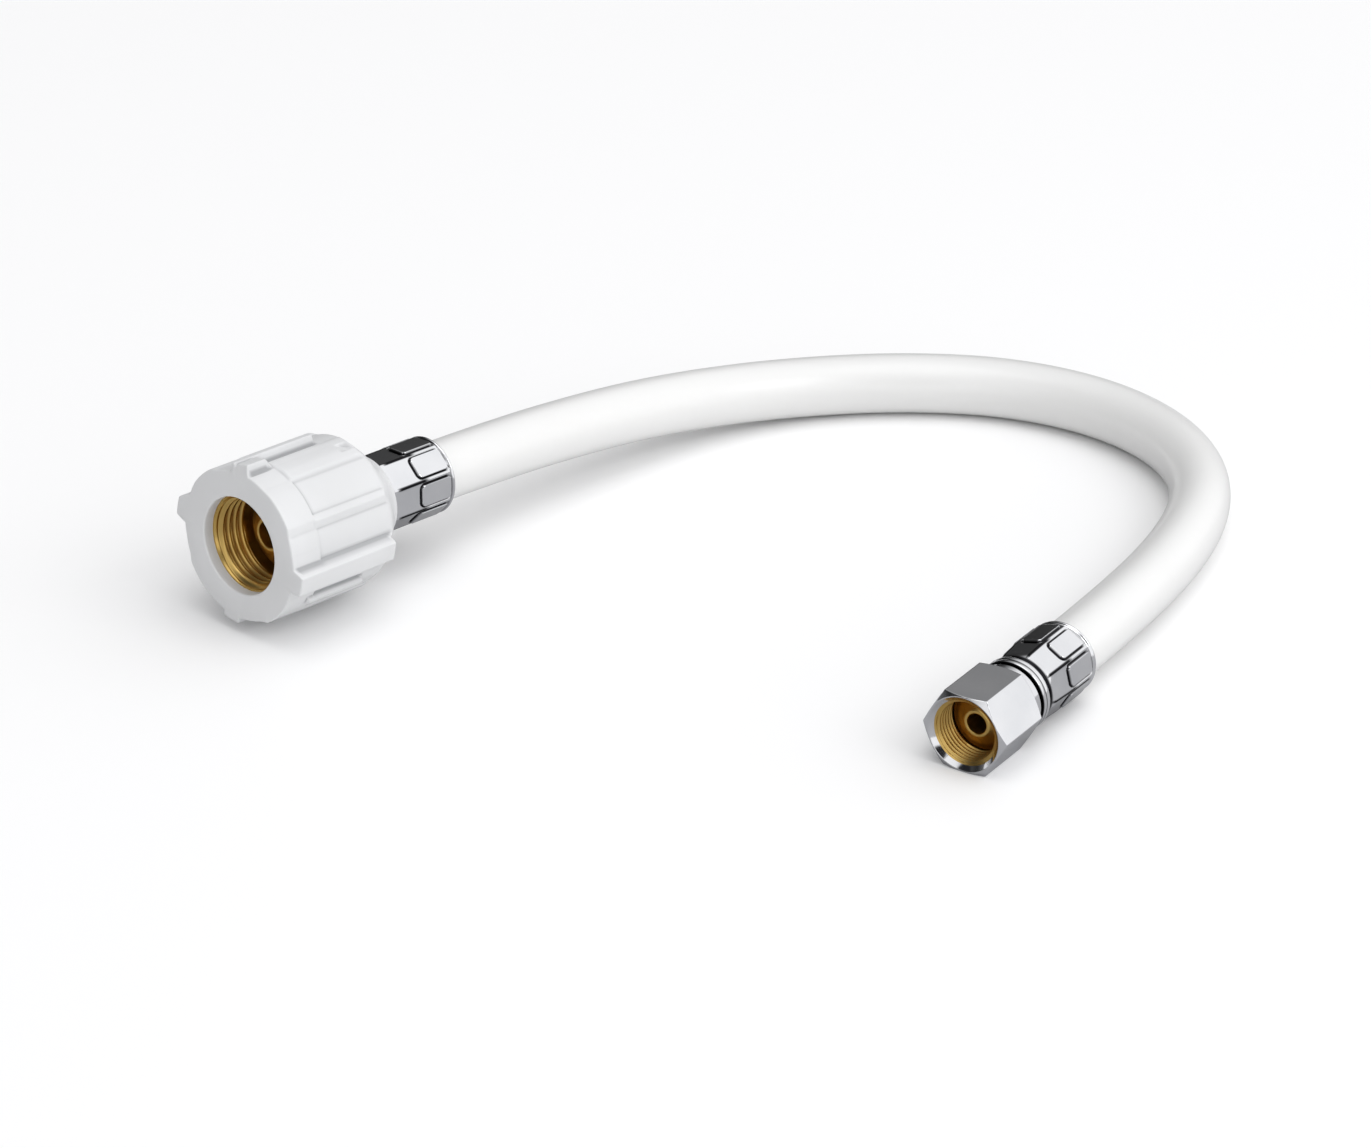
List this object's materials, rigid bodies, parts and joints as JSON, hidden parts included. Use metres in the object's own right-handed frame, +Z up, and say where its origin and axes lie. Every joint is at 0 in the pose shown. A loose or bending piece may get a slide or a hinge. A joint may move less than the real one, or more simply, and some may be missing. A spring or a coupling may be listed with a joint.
{
  "type": "faucet supply line",
  "caption": "Flexible reinforced vinyl water line with a plastic hand nut on one end and a chrome hex nut on the other.",
  "frame": {"origin": "on the surface that the line lies on, under the middle of the two end fittings' box", "axes": "+Z up; the hex nut's mouth points along -Y, and the hose makes its bend on the +Y side"},
  "size_m": [0.1904, 0.1958, 0.0399],
  "materials": {
    "vinyl_jacket": "glossy milky vinyl",
    "braid_yarn": "polyester yarn",
    "vinyl_liner": "smooth",
    "brass": "turned",
    "chrome_plate": "polished",
    "nut_plastic": "satin moulded",
    "washer_nylon": "smooth"
  },
  "bodies": {
    "hose": {"hose_jacket": "vinyl_jacket", "hose_braid": "braid_yarn", "hose_liner": "vinyl_liner", "faucet_stem": "brass", "faucet_ferrule": "chrome_plate", "valve_stem": "brass", "valve_ferrule": "chrome_plate"},
    "faucet_washer": {"faucet_slip_washer": "washer_nylon"},
    "faucet_nut": {"faucet_nut_insert": "brass", "faucet_nut_shell": "nut_plastic"},
    "valve_washer": {"valve_slip_washer": "washer_nylon"},
    "valve_nut": {"valve_hex_nut": "chrome_plate"}
  },
  "joints": [
    {"name": "faucet_nut_slide", "type": "slide", "parent": "hose", "child": "faucet_washer", "axis": [-0.1803, -0.9822, 0.0523], "range_m": [-0.0035, 0.0008]},
    {"name": "faucet_nut_spin", "type": "hinge", "parent": "faucet_washer", "child": "faucet_nut", "pos_m": [-0.0731, -0.01717, 0.01968], "axis": [-0.1803, -0.9822, 0.0523], "continuous": true},
    {"name": "valve_nut_slide", "type": "slide", "parent": "hose", "child": "valve_washer", "axis": [0, -1, 0], "range_m": [-0.0005, 0.0008]},
    {"name": "valve_nut_spin", "type": "hinge", "parent": "valve_washer", "child": "valve_nut", "pos_m": [0.0851, 0.0083, 0.00873], "axis": [0, -1, 0], "continuous": true}
  ]
}
